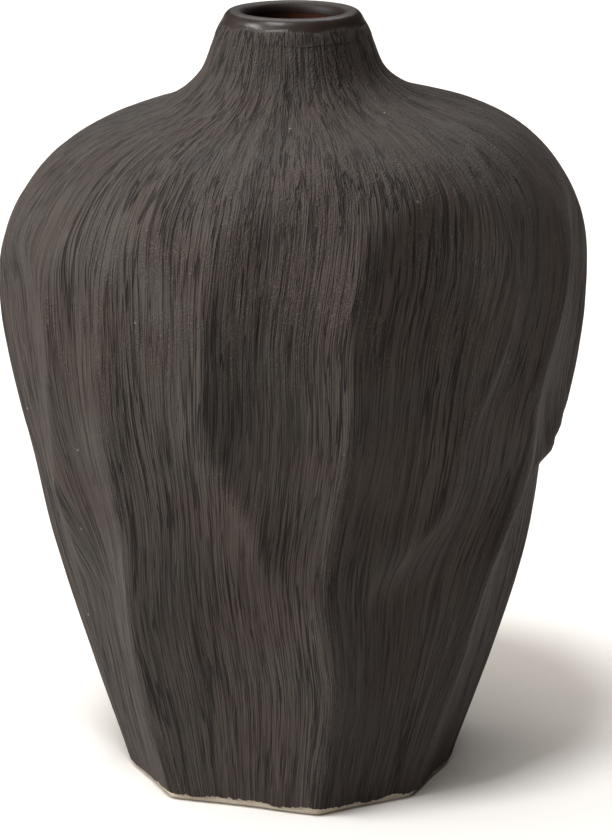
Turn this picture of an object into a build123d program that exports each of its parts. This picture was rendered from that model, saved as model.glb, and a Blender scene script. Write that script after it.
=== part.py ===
"""Stoneware vase: a faceted, shouldered pot with a short neck and a narrow mouth.

One fired clay pot with three fused skins on it: a brushed dark coat outside, a gloss
band over the lip and a gloss lining inside. Units are millimetres. The pot stands on
Z = 0 with the axis of its mouth on the Z axis, and its front faces -Y. Angles go round
from the front towards +X.
"""
import os

import numpy as np
from build123d import *

os.makedirs("parts", exist_ok=True)

# ---- driving dimensions -------------------------------------------------------------
HEIGHT = 200.0
MOUTH_RADIUS = 12.0        # clear radius of the throat
THROAT_TOP = 197.0         # the straight throat runs from here ...
THROAT_BOTTOM = 184.0      # ... down to here
THROAT_RELIEF = 1.5        # the belly opens this much wider just below the throat
CLOSING_HEIGHT = 174.0     # the inside draws in towards the throat from here up
LIP_CREST_RADIUS = 15.0    # the highest ring of the lip
LIP_ROLL = (18.0, 197.5)   # a point on the outside of the lip: radius, height
LIP_LEAVES = (-0.4, 0, 1)  # direction in which the lip leaves the neck
GLOSS_BOTTOM = 194.6       # the gloss band of the lip ends here
SKIN = 0.6                 # thickness of the coat, the gloss band and the lining
COAT_BOTTOM = 1.2          # bare clay shows below this
EDGE_ROUNDING = 1.0        # rounding of the bottom edge of the clay
WALL = 5.0                 # clay wall
FLOOR = 7.0                # clay floor
FLOOR_ROUNDING = 9.0       # inside corner between wall and floor
HOLLOW_DEPTH = 3.0         # how far a very wide flute is scooped below flat
HOLLOW_WIDTH = 36.0        # a flute this wide has three quarters of that
HOLLOW_HEIGHT = 60.0       # the scoop dies away from here down to the base
CREST_SOFTNESS = 2.0       # rounding of the crests between flutes
CREST_SOFTNESS_INSIDE = 12.0
FLUTE_RUNOUT = 15.0        # height over which a flute runs out at the shoulder
FLUTE_ARCH = 7.0           # how much higher a flute reaches at its middle
SHOULDER_LEAN = 2.5        # the shoulder stands this much higher at +X
BASE_SHIFT = -0.9          # the base sits slightly off the mouth's axis
SHIFT_HEIGHT = 60.0        # the body is back on the axis from here up

# ---- worked out from them ------------------------------------------------------------
CLAY_INSIDE = SKIN + WALL              # depth of the clay's inside below the outside
LINING_INSIDE = CLAY_INSIDE + SKIN     # depth of the lining's inside
SAMPLES_ROUND = 216                    # points on each level of the shaped body
ANGLES = np.arange(SAMPLES_ROUND) * 360 / SAMPLES_ROUND + 180
LEVELS = list(range(5, 160, 5)) + [160 + 2.5 * i for i in range(15)]
LEVEL_GAP = 1.2                        # levels keep at least this far from both ends
SLOPE_STEP = 1.0                       # the outline's slope is taken over this, up and down

# ---- outline over the crests: height, radius -----------------------------------------
OUTLINE = [(0, 41.6), (12, 46.0), (28, 51.6), (46, 57.7), (65, 63.2), (85, 67.4), (105, 71.8),
           (120, 74.3), (133, 75.2), (143, 74.3), (151, 71.5), (158, 67.5), (165, 61.5),
           (170.5, 54.0), (174.5, 44.5), (177, 36.0), (179.5, 29.8), (182, 26.2),
           (184.5, 23.6), (187, 22.2), (191, 20.8), (GLOSS_BOTTOM, 19.5)]

# ---- crests that run from the shoulder to a corner of the base: height, angle ---------
CORNER_CRESTS = {
    "left": [(0, -86), (45, -90), (90, -89), (130, -86), (165, -84)],
    "front_left": [(0, -47.4), (50, -43.5), (75, -39.5), (103, -40.5), (130, -38.5), (165, -42)],
    "front": [(0, 10), (35, 12), (68, 7.6), (105, 11.6), (130, 11), (165, 16.5)],
    "front_right": [(0, 48.5), (40, 50.5), (65, 52), (88, 60), (110, 57), (128, 62), (165, 74)],
    "right": [(0, 87), (40, 94), (80, 102), (120, 113), (165, 119)],
    "back_right": [(0, 142), (60, 150), (110, 165), (165, 170)],
    "back_left": [(0, 207), (60, 212), (110, 222), (165, 220)],
}

# ---- crests between them, each rising out of a corner crest: which one, at what height,
# ---- over what height it rises to its full stand, and its path: height, angle ----------
SIDE_CRESTS = [
    ("left", 46, 40, [(68, -70), (80, -64.5), (109, -57.2), (132, -54.8), (165, -60)]),
    ("front", 57, 25, [(65, -1.5), (82, -8.2), (100, -16), (120, -17), (142, -16.8), (165, -19)]),
    ("front", 56, 25, [(64, 17.6), (72, 24), (84, 33), (104, 35.8), (121, 41.5), (165, 48)]),
    ("front_right", 76, 16, [(85, 70), (93, 79), (103, 85), (118, 88), (140, 91), (165, 94)]),
    ("back_right", 55, 28, [(80, 143), (110, 139), (165, 144)]),
    ("back_right", 62, 28, [(85, 178), (110, 188), (165, 196)]),
    ("back_left", 52, 30, [(80, 226), (110, 240), (165, 248)]),
]

# ---- how high the flutes reach: angle, height -----------------------------------------
FLUTE_TOPS = [(-95, 152), (-70, 151), (-48, 153), (-30, 157.5), (-13, 162), (1, 164.5),
              (28, 164.5), (58, 160), (80, 157), (100, 157), (150, 159), (200, 156), (265, 152)]


class SmoothLine:
    """A natural cubic curve through a few points, held level past its ends."""

    def __init__(self, points):
        self.x = np.array([p[0] for p in points], float)
        self.y = np.array([p[1] for p in points], float)
        count = len(points)
        gap = np.diff(self.x)
        slope = np.diff(self.y) / gap
        matrix = np.eye(count)
        right = np.zeros(count)
        for i in range(1, count - 1):
            matrix[i, i - 1:i + 2] = gap[i - 1], 2 * (gap[i - 1] + gap[i]), gap[i]
            right[i] = 6 * (slope[i] - slope[i - 1])
        self.bend = np.linalg.solve(matrix, right)

    def __call__(self, x):
        x = np.clip(x, self.x[0], self.x[-1])
        i = np.clip(np.searchsorted(self.x, x, side="right") - 1, 0, len(self.x) - 2)
        gap = self.x[i + 1] - self.x[i]
        low = (self.x[i + 1] - x) / gap
        high = 1 - low
        lift = (low ** 3 - low) * self.bend[i] + (high ** 3 - high) * self.bend[i + 1]
        return low * self.y[i] + high * self.y[i + 1] + lift * gap ** 2 / 6


def ease(x):
    """0 below 0, 1 above 1, and a smooth step between."""
    x = np.clip(x, 0, 1)
    return x * x * (3 - 2 * x)


outline = SmoothLine(OUTLINE)
flute_top = SmoothLine(FLUTE_TOPS)
corner_paths = {name: SmoothLine(points) for name, points in CORNER_CRESTS.items()}
side_paths = []
for joined, join_height, rise, points in SIDE_CRESTS:
    start = (join_height, float(corner_paths[joined](join_height)))
    side_paths.append((join_height, rise, SmoothLine([start] + points)))


def flute_depth(radius, angle, crests, softness, z):
    """Depth below the crests at each angle, and the place across the flute, -1 to 1."""
    turned = (angle - crests[0]) % 360 + crests[0]
    i = np.clip(np.searchsorted(crests, turned, side="right") - 1, 0, len(crests) - 2)
    half_turn = np.radians(crests[i + 1] - crests[i]) / 2
    width = 2 * half_turn * radius
    across = (turned - crests[i]) / (crests[i + 1] - crests[i]) * 2 - 1
    soft = softness / width
    peak = np.sqrt(1 + soft * soft) - soft
    inward = (np.sqrt((1 - np.abs(across)) ** 2 + soft * soft) - soft) / peak
    scoop = HOLLOW_DEPTH * np.tanh(width / HOLLOW_WIDTH) * ease(z / HOLLOW_HEIGHT)
    flat = radius * (1 - np.cos(half_turn))
    return (flat + scoop) * (1 - (1 - inward) ** 2), across, i


def body_radius(angle, z, softness):
    """Radius of the outside at these angles (degrees) and this height."""
    lean = SHOULDER_LEAN * np.sin(np.radians(angle)) * ease((z - 112) / 30) * ease((190 - z) / 25)
    level = z - lean
    crest_radius = outline(level)
    corners = sorted(float(path(z)) for path in corner_paths.values())
    corner_ring = np.array(corners + [corners[0] + 360])
    depth, _, _ = flute_depth(crest_radius, angle, corner_ring, softness, z)

    crests = [(corner, 1.0) for corner in corners]
    for join_height, rise, path in side_paths:
        if z > join_height + 1:
            crests.append((float(path(z)), float(ease((z - join_height) / rise))))
    if len(crests) > len(corners):
        crests.sort()
        ring = np.array([c[0] for c in crests] + [crests[0][0] + 360])
        stand = np.array([c[1] for c in crests] + [crests[0][1]])
        side_depth, side_across, i = flute_depth(crest_radius, angle, ring, softness, z)
        share = np.minimum(stand[i], stand[i + 1])
        middle = ((ring[i] + ring[i + 1]) / 2 + 95) % 360 - 95
        depth = depth * (1 - share) + side_depth * share
        top = flute_top(middle) - FLUTE_ARCH * side_across ** 2
        below_top = np.clip((top - level) / FLUTE_RUNOUT, 0, None)
        depth = depth * (1 - np.exp(-3 * below_top ** 2))
    return crest_radius - depth


def wall_radius(angle, z, depth):
    """Radius of a surface that lies this deep inside the outside, down and in."""
    beside = body_radius(angle, z, CREST_SOFTNESS_INSIDE) - depth
    above = body_radius(angle, z + depth, CREST_SOFTNESS_INSIDE)
    corner = max(0.0, 1 - (z - floor_height(depth)) / FLOOR_ROUNDING)
    rounding = FLOOR_ROUNDING * (1 - np.sqrt(1 - corner ** 2))
    closing = ease((z - CLOSING_HEIGHT) / (belly_top(depth) - CLOSING_HEIGHT))
    neck = throat_radius(depth) + THROAT_RELIEF
    return (np.minimum(beside, above) - rounding) * (1 - closing) + neck * closing


def floor_height(depth):
    return FLOOR + depth - CLAY_INSIDE


def belly_top(depth):
    return THROAT_BOTTOM + CLAY_INSIDE - depth


def throat_radius(depth):
    return MOUTH_RADIUS + LINING_INSIDE - depth


def level_wire(z, radius):
    """One closed level of the body through its radii."""
    shift = BASE_SHIFT * (1 - ease(z / SHIFT_HEIGHT))
    x = radius * np.sin(np.radians(ANGLES)) + shift
    y = -radius * np.cos(np.radians(ANGLES))
    points = [Vector(a, b, z) for a, b in zip(x, y)]
    steps = [i / SAMPLES_ROUND for i in range(SAMPLES_ROUND + 1)]
    return Wire([Edge.make_spline(points, periodic=True, parameters=steps)])


def outside_wire(z, inset):
    """A level of the outside, or of the clay under the coat, set in square to the surface."""
    corner = max(0.0, 1 - z / EDGE_ROUNDING)
    rounding = EDGE_ROUNDING * (1 - np.sqrt(1 - corner ** 2))
    slope = (outline(z + SLOPE_STEP) - outline(z - SLOPE_STEP)) / (2 * SLOPE_STEP)
    leaning = ease((z - 120) / 20) * ease((190 - z) / 8)
    square = inset * (1 + leaning * (np.hypot(1, slope) - 1))
    return level_wire(z, body_radius(ANGLES, z, CREST_SOFTNESS) - square - rounding)


def inside_wire(z, depth):
    """A level of the wall's inside, or of the lining on it."""
    return level_wire(z, wall_radius(ANGLES, z, depth))


def levels(bottom, top):
    """Heights for the levels between two ends, closer together over the shoulder."""
    between = [z for z in LEVELS if bottom + LEVEL_GAP < z < top - LEVEL_GAP]
    return [bottom] + between + [top]


def side_face(wires):
    """The one curved face that runs through a stack of levels."""
    return Shell.make_loft(wires).faces()[0]


def circle(radius, z):
    return Wire([Edge.make_circle(radius, Plane((0, 0, z)))])


def throat_face(radius, bottom, top):
    """The round wall of the straight throat."""
    tube = Solid.make_cylinder(radius, top - bottom, Plane((0, 0, bottom)))
    return tube.faces().filter_by(GeomType.CYLINDER)[0]


def solid_from(faces):
    """A closed solid sewn from faces that share their edges."""
    return Solid(Shell(faces))


# ---- curved faces that two neighbouring pieces share -----------------------------------
coat_levels = levels(COAT_BOTTOM, GLOSS_BOTTOM)
edge_levels = [COAT_BOTTOM * share for share in (0, 0.1, 0.3, 0.6, 1)]
coat_outside = side_face([outside_wire(z, 0) for z in coat_levels])
clay_outside = side_face([outside_wire(z, SKIN) for z in coat_levels])
clay_edge = side_face([outside_wire(z, SKIN) for z in edge_levels])


def belly_faces(depth):
    """Floor, wall and the flat ring under the throat, at this depth in the wall."""
    floor, top = floor_height(depth), belly_top(depth)
    wires = [inside_wire(z, depth) for z in levels(floor, top)]
    ring = Face(wires[-1], [circle(throat_radius(depth), top)])
    return [Face(wires[0]), side_face(wires), ring]


clay_belly = belly_faces(CLAY_INSIDE)
lining_belly = belly_faces(LINING_INSIDE)


# ---- the lip ----------------------------------------------------------------------------
def lip_curve(inset):
    """Half section of the lip's surface, from the gloss band's lower edge into the throat."""
    foot = (OUTLINE[-1][1] - inset, GLOSS_BOTTOM)
    roll = (LIP_ROLL[0] - inset, LIP_ROLL[1] - inset / 3)
    crest = (LIP_CREST_RADIUS, HEIGHT - inset)
    mouth = (MOUTH_RADIUS + inset, THROAT_TOP)
    points = [Vector(radius, 0, z) for radius, z in (foot, roll, crest, mouth)]
    outside = Edge.make_spline(points[:3], tangents=[Vector(*LIP_LEAVES), Vector(-1, 0, 0)])
    inside = Edge.make_spline(points[2:], tangents=[Vector(-1, 0, 0), Vector(0, 0, -1)])
    return [outside, inside]


def straight_lines(*corners):
    """Straight edges through corners given as radius and height."""
    points = [Vector(radius, 0, z) for radius, z in corners]
    return [Edge.make_line(a, b) for a, b in zip(points, points[1:])]


def turned(edges):
    """A ring turned round the axis from a closed half section."""
    return revolve(Face(Wire.combine(edges)[0]), Axis.Z, 360).solids()[0]


# ---- clay body: bare stoneware, one fired wall with its flat floor and lip core ----------
def make_clay_body():
    blank = solid_from([Face(outside_wire(0, SKIN)), clay_edge, clay_outside,
                        Face(outside_wire(GLOSS_BOTTOM, SKIN))])
    core_mouth = MOUTH_RADIUS + SKIN
    core_foot = OUTLINE[-1][1] - SKIN
    core = turned(lip_curve(SKIN) + straight_lines((core_mouth, THROAT_TOP), (core_mouth, GLOSS_BOTTOM),
                                                   (core_foot, GLOSS_BOTTOM)))
    bore = [throat_face(core_mouth, THROAT_BOTTOM, HEIGHT + 1), Face(circle(core_mouth, HEIGHT + 1))]
    hollow = solid_from(clay_belly + bore)
    return blank + core - hollow


# ---- outer glaze: the matte dark coat, from just above the foot to the gloss band --------
def make_outer_glaze():
    bottom = Face(outside_wire(COAT_BOTTOM, 0), [outside_wire(COAT_BOTTOM, SKIN)])
    top = Face(outside_wire(GLOSS_BOTTOM, 0), [outside_wire(GLOSS_BOTTOM, SKIN)])
    return solid_from([bottom, coat_outside, clay_outside, top])


# ---- lip glaze: the gloss band over the lip, down to the top of the throat ---------------
def make_lip_glaze():
    outer_foot, inner_foot = OUTLINE[-1][1], OUTLINE[-1][1] - SKIN
    ends = straight_lines((MOUTH_RADIUS, THROAT_TOP), (MOUTH_RADIUS + SKIN, THROAT_TOP))
    ends += straight_lines((inner_foot, GLOSS_BOTTOM), (outer_foot, GLOSS_BOTTOM))
    return turned(lip_curve(0) + lip_curve(SKIN) + ends)


# ---- inner glaze: the gloss lining of the throat, the belly and the floor ----------------
def make_inner_glaze():
    top = Face(circle(MOUTH_RADIUS + SKIN, THROAT_TOP), [circle(MOUTH_RADIUS, THROAT_TOP)])
    outer_throat = throat_face(MOUTH_RADIUS + SKIN, belly_top(CLAY_INSIDE), THROAT_TOP)
    inner_throat = throat_face(MOUTH_RADIUS, belly_top(LINING_INSIDE), THROAT_TOP)
    return solid_from(clay_belly + lining_belly + [outer_throat, inner_throat, top])


NODES = {
    "clay_body": make_clay_body,
    "outer_glaze": make_outer_glaze,
    "lip_glaze": make_lip_glaze,
    "inner_glaze": make_inner_glaze,
}
for name, make in NODES.items():
    piece = make()
    piece.label = name
    export_step(piece, f"parts/{name}.step")
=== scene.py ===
"""Looks for the faceted stoneware vase: brushed dark coat, gloss lip, gloss lining and bare foot.

Laid out as an add-on, and run as a script. Lengths are in metres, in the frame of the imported
model: +Z up, the foot on Z = 0, the front facing -Y. Angles go round from the front towards +X.
"""

from math import cos, pi, radians, sin

import bmesh
import bpy
import numpy as np
from bpy.props import FloatProperty, FloatVectorProperty, IntProperty, PointerProperty
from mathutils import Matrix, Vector
from mathutils.bvhtree import BVHTree


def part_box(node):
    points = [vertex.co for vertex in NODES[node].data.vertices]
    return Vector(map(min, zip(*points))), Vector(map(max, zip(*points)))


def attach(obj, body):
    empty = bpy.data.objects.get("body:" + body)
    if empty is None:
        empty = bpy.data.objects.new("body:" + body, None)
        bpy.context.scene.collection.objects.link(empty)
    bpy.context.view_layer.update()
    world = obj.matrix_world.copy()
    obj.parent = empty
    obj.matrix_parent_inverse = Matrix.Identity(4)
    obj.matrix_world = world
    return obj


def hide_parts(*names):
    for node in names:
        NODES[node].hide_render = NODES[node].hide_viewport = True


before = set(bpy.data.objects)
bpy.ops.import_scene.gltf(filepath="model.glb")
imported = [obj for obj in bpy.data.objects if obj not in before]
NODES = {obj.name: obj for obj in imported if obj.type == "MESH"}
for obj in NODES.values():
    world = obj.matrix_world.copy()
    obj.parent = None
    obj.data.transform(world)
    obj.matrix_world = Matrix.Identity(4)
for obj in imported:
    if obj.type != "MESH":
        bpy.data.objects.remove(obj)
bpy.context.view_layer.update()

bl_info = {
    "name": "Faceted Stoneware Vase",
    "version": (1, 0, 0),
    "blender": (4, 5, 0),
    "location": "View3D > Sidebar > Vase",
    "description": "Models the glazes of a faceted stoneware vase and sets it on a pale table",
    "category": "Object",
}

MM = 0.001
COAT_LOW, COAT_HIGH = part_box("outer_glaze")
LIP_LOW, LIP_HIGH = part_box("lip_glaze")
# Radii at which the widths of marks and dents are measured.
BELLY_RADIUS = 75 * MM
SHOULDER_RADIUS = 55 * MM
NECK_RADIUS = 24 * MM
LIP_RADIUS = 19.5 * MM

SKIN = 0.6 * MM               # thickness of every glaze
REACH = 12 * MM               # a pressed piece starts this far outside the fired shape
SMOOTH_BELOW = radians(50)    # edges sharper than this stay sharp

# The thrown outline over the crests: height and radius, listed in millimetres.
OUTLINE = np.array([
    (0, 41.6), (12, 46.0), (28, 51.6), (46, 57.7), (65, 63.2), (85, 67.4), (105, 71.8),
    (120, 74.3), (133, 75.2), (143, 74.3), (151, 71.5), (158, 67.5), (165, 61.5),
    (170.5, 54.0), (174.5, 44.5), (177, 36.0), (179.5, 29.8), (182, 26.2), (184.5, 23.6),
    (187, 22.2), (191, 20.8), (194.6, 19.5)]) * MM

# Crests from the shoulder to the corners of the base: height in millimetres, angle in degrees.
# The brush marks follow them.
CRESTS = [
    [(0, -86), (45, -90), (90, -89), (130, -86), (165, -84)],
    [(0, -47.4), (50, -43.5), (75, -39.5), (103, -40.5), (130, -38.5), (165, -42)],
    [(0, 10), (35, 12), (68, 7.6), (105, 11.6), (130, 11), (165, 16.5)],
    [(0, 48.5), (40, 50.5), (65, 52), (88, 60), (110, 57), (128, 62), (165, 74)],
    [(0, 87), (40, 94), (80, 102), (120, 113), (165, 119)],
    [(0, 142), (60, 150), (110, 165), (165, 170)],
    [(0, 207), (60, 212), (110, 222), (165, 220)],
]
CREST_SMOOTHING = 24          # millimetres of height over which a crest's path is smoothed

# Shallow creases that the cutting tool left in the flutes: angle in degrees, height in
# millimetres, from the top down.
TOOL_CREASES = [
    [(34.7, 80), (31.7, 72), (27.9, 65), (26.7, 57), (25.8, 48), (26.9, 34)],
    [(-21.1, 74), (-19.6, 60), (-18.8, 46)],
    [(-70, 60), (-67, 45), (-66, 28)],
    [(72, 70), (69, 56), (70, 40)],
    [(121, 96), (117, 80), (118, 62), (115, 44)],
    [(176, 84), (171, 66), (172, 50)],
    [(238, 92), (233, 76), (235, 58), (231, 40)],
]


# ---- settings ---------------------------------------------------------------------------
class VaseCoatSettings(bpy.types.PropertyGroup):
    """The matte brushed coat"""
    columns: IntProperty(name="Columns", description="Points round the coat before it is smoothed",
                         default=180, min=48, max=180)
    rings: IntProperty(name="Rings", description="Rings up the coat before it is smoothed",
                       default=30, min=12, max=30)
    wobble: FloatProperty(name="Wobble", description="Depth of the dents left by the hand",
                          default=0.22 * MM, unit="LENGTH", precision=5)
    strokes: FloatProperty(name="Strokes", description="Depth of the long brush marks on the flutes",
                           default=0.30 * MM, unit="LENGTH", precision=5)
    grooves: FloatProperty(name="Grooves", description="Depth of the marks on shoulder and neck",
                           default=0.30 * MM, unit="LENGTH", precision=5)
    crease: FloatProperty(name="Creases", description="Depth of the tool's creases in the flutes",
                          default=0.30 * MM, unit="LENGTH", precision=5)
    ragged: FloatProperty(name="Ragged edge", description="How far up the lower edge wanders",
                          default=0.9 * MM, unit="LENGTH", precision=5)
    earth: FloatVectorProperty(name="Earth", description="Brown of the coat", subtype="COLOR",
                               default=(0.0330, 0.0236, 0.0198))
    moss: FloatVectorProperty(name="Moss", description="Greenish grey patches of the coat",
                              subtype="COLOR", default=(0.0320, 0.0266, 0.0226))
    worn: FloatVectorProperty(name="Worn", description="Grit and crests, where the coat is thin",
                              subtype="COLOR", default=(0.0900, 0.0720, 0.0600))
    # Painted shade: this near-black goes into the fine grooves and modelled marks, for the shade
    # that falls in them and for glaze collected there.
    pooled_and_groove_shade: FloatVectorProperty(name="Pooled", description="Marks where the coat is thick",
                                subtype="COLOR", default=(0.0050, 0.0030, 0.0024))


class VaseLipSettings(bpy.types.PropertyGroup):
    """The gloss band over the lip"""
    columns: IntProperty(name="Columns", description="Points round the lip", default=512, min=64)
    rings: IntProperty(name="Rings", description="Rings over the lip", default=44, min=12)
    run: FloatProperty(name="Run", description="How far the gloss has run down onto the coat",
                       default=1.0 * MM, unit="LENGTH", precision=5)
    grooves: FloatProperty(name="Grooves", description="Depth of the marks that reach the lip",
                           default=0.26 * MM, unit="LENGTH", precision=5)
    colour: FloatVectorProperty(name="Colour", description="Dark brown of the gloss",
                                subtype="COLOR", default=(0.0150, 0.0100, 0.0085))
    thin: FloatVectorProperty(name="Thin", description="Paler brown where the gloss is thin",
                              subtype="COLOR", default=(0.0240, 0.0180, 0.0155))
    brushed: FloatVectorProperty(name="Brushed", description="The foot, brushed with the coat",
                                 subtype="COLOR", default=(0.0325, 0.0250, 0.0212))
    # Painted shade: this near-black goes into the marks that reach the lip, for the shade in them
    # and for glaze collected there.
    pooled_and_groove_shade: FloatVectorProperty(name="Pooled", description="Marks that reach the lip",
                                subtype="COLOR", default=(0.0050, 0.0030, 0.0024))
    # Painted shade: this near-black stands for the shade on the lip's inner side, where it turns
    # down into the mouth; the lining itself is a lighter red-brown.
    inside: FloatVectorProperty(name="Inside", description="Dark brown where it meets the lining",
                                subtype="COLOR", default=(0.0080, 0.0034, 0.0020))


class VaseLiningSettings(bpy.types.PropertyGroup):
    """The gloss lining"""
    colour: FloatVectorProperty(name="Colour", description="Red-brown of the lining",
                                subtype="COLOR", default=(0.0300, 0.0105, 0.0045))
    # Painted shade as well: this darker brown also goes over the lower lining, deep in the vase,
    # where shade falls, besides random patches of heavier glaze.
    thick_and_shaded: FloatVectorProperty(name="Thick", description="Darker brown where the lining is thick",
                               subtype="COLOR", default=(0.0080, 0.0032, 0.0018))


class VaseClaySettings(bpy.types.PropertyGroup):
    """The bare clay"""
    colour: FloatVectorProperty(name="Colour", description="Cream of the fired clay",
                                subtype="COLOR", default=(0.46, 0.40, 0.32))
    speckle: FloatVectorProperty(name="Speckle", description="Darker grog in the clay",
                                 subtype="COLOR", default=(0.20, 0.155, 0.115))


class VaseStageSettings(bpy.types.PropertyGroup):
    """Table, light and camera"""
    table: FloatVectorProperty(name="Table", description="Colour of the table", subtype="COLOR",
                               default=(0.80, 0.79, 0.78))
    light: FloatProperty(name="Light", description="Strength of all the soft lights", default=1.0)
    fill: FloatProperty(name="Fill", description="Strength of the light from all round",
                        default=0.04)
    distance: FloatProperty(name="Distance", description="Camera in front of the axis",
                            default=0.950, unit="LENGTH")
    height: FloatProperty(name="Height", description="Camera above the table",
                          default=0.3497, unit="LENGTH")
    aim: FloatProperty(name="Aim", description="Height on the axis that the camera looks at",
                       default=0.0933, unit="LENGTH")
    aside: FloatProperty(name="Aside", description="Camera to the right of the axis",
                         default=0.0032, unit="LENGTH", precision=4)
    lens: FloatProperty(name="Lens", description="Focal length in millimetres", default=163.5)


# ---- the flow of the marks over the coat ---------------------------------------------------
HEIGHTS = np.arange(0, 201) * MM


def smoothed_path(points):
    """Angle of a crest at each of HEIGHTS, with its corners smoothed away."""
    heights, angles = np.array(points, float).T
    line = np.interp(HEIGHTS, heights * MM, angles)
    window = np.hanning(CREST_SMOOTHING + 3)
    half = len(window) // 2
    padded = np.pad(line, half, mode="edge")
    return np.convolve(padded, window / window.sum(), mode="valid")[:len(HEIGHTS)]


CREST_PATHS = [smoothed_path(points) for points in CRESTS]
CREST_HOMES = np.array([path.mean() for path in CREST_PATHS])


def ease(x):
    """0 below 0, 1 above 1, and a smooth step between."""
    x = np.clip(x, 0, 1)
    return x * x * (3 - 2 * x)


def rise(value, low, high):
    """A smooth step from 0 at low to 1 at high, flat beyond them. Low may be the larger."""
    return ease((value - low) / (high - low))


def bearing_of(spots):
    """Angle of each point round the vase, in degrees from the front."""
    return np.degrees(np.arctan2(spots[:, 0], -spots[:, 1]))


def radius_of(spots):
    """Distance of each point from the axis."""
    return np.hypot(spots[:, 0], spots[:, 1])


def led_angle(home, height):
    """Angle at this height of the mark whose place among the crests is home."""
    first = CREST_HOMES[0]
    home = (home - first) % 360 + first
    homes = np.append(CREST_HOMES, first + 360)
    paths = np.array([np.interp(height, HEIGHTS, path) for path in CREST_PATHS])
    paths = np.vstack([paths, paths[:1] + 360])
    left = np.clip(np.searchsorted(homes, home, side="right") - 1, 0, len(CRESTS) - 1)
    share = (home - homes[left]) / (homes[left + 1] - homes[left])
    each = np.arange(len(home))
    return paths[left, each] * (1 - share) + paths[left + 1, each] * share


ARCS = np.append(0, np.cumsum(np.hypot(*np.diff(OUTLINE, axis=0).T)))
UP_LENGTH = ARCS[-1]


def outline_at(length):
    """Height and radius of the outline, this far up along it."""
    return np.interp(length, ARCS, OUTLINE[:, 0]), np.interp(length, ARCS, OUTLINE[:, 1])


def length_at(height):
    """How far up along the outline this height is."""
    return np.interp(height, OUTLINE[:, 0], ARCS)


class Grain:
    """A smooth random field over the coat, of unit spread and seamless round the vase.

    Width and length are the size of its features round and up the vase, the width at this
    radius. A combed field has lines of about that width side by side, and a plain one has
    soft patches.
    """
    STEPS = 5                 # steps of the field over one feature
    TALL = UP_LENGTH * 1.2    # the field is a little longer than the outline
    STRAY = 0.45              # how far a combed field's lines stray from their width

    def __init__(self, seed, width, length, radius=BELLY_RADIUS, combed=False):
        around = 2 * pi * radius
        self.columns = int(np.ceil(around / (width / self.STEPS)))
        self.rows = int(np.ceil(self.TALL / (length / self.STEPS)))
        self.step = self.TALL / self.rows
        noise = np.random.default_rng(seed).standard_normal((self.rows, self.columns))
        along = np.fft.fftfreq(self.rows, self.step)[:, None] * length
        across = np.fft.fftfreq(self.columns, around / self.columns)[None, :] * width
        spread = ((np.abs(across) - 1) / self.STRAY) ** 2 if combed else 2 * across ** 2
        softened = np.fft.fft2(noise) * np.exp(-2 * along ** 2 - spread)
        field = np.real(np.fft.ifft2(softened))
        self.field = (field - field.mean()) / field.std()

    def __call__(self, home, length):
        """The field at these homes (degrees) and lengths up the outline."""
        x = (home / 360 % 1) * self.columns
        y = length / self.step
        column, row = np.floor(x).astype(int), np.floor(y).astype(int)
        beside, above = ease(x - column), ease(y - row)
        low = self.in_row(row, column, beside)
        high = self.in_row(row + 1, column, beside)
        return low * (1 - above) + high * above

    def in_row(self, row, column, share):
        """The field in a row, this share of the way from a column to the next."""
        row = row % self.rows
        here = self.field[row, column % self.columns]
        following = self.field[row, (column + 1) % self.columns]
        return here * (1 - share) + following * share


# Random fields. In the ragged lower edge:
EDGE_BROAD = Grain(31, 9 * MM, 40 * MM)
EDGE_NICKS = Grain(32, 1.6 * MM, 40 * MM)
# In the marks of brush and comb:
SWAY = Grain(41, 26 * MM, 50 * MM)
BUSY_FLUTES = Grain(42, 15 * MM, 50 * MM)
SHORT_STROKES = Grain(43, 1.8 * MM, 22 * MM, combed=True)
LONG_STROKES = Grain(44, 2.8 * MM, 44 * MM, combed=True)
SHOULDER_GROOVES = Grain(45, 1.6 * MM, 6 * MM, SHOULDER_RADIUS, combed=True)
BUSY_SHOULDER = Grain(46, 14 * MM, 16 * MM, SHOULDER_RADIUS)
NECK_GROOVES = Grain(47, 1.5 * MM, 9 * MM, NECK_RADIUS, combed=True)
BAND_ENDS = Grain(50, 9 * MM, 12 * MM, 40 * MM)
# In the dents that the hand left:
BROAD_DENTS = Grain(48, 13 * MM, 26 * MM)
SMALL_DENTS = Grain(49, 5 * MM, 7 * MM, SHOULDER_RADIUS)
# In the lip's gloss:
LIP_TONGUES = Grain(51, 9 * MM, 20 * MM, LIP_RADIUS)
LIP_DENTS = Grain(52, 14 * MM, 12 * MM, LIP_RADIUS)


# ---- modelling by hand --------------------------------------------------------------------
def deselect_all():
    """Leaves edit mode with no piece selected."""
    if bpy.context.mode != "OBJECT":
        bpy.ops.object.mode_set(mode="OBJECT")
    bpy.ops.object.select_all(action="DESELECT")


def make_active(piece):
    """Selects one piece alone, for Blender's tools to work on."""
    deselect_all()
    piece.select_set(True)
    bpy.context.view_layer.objects.active = piece


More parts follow.
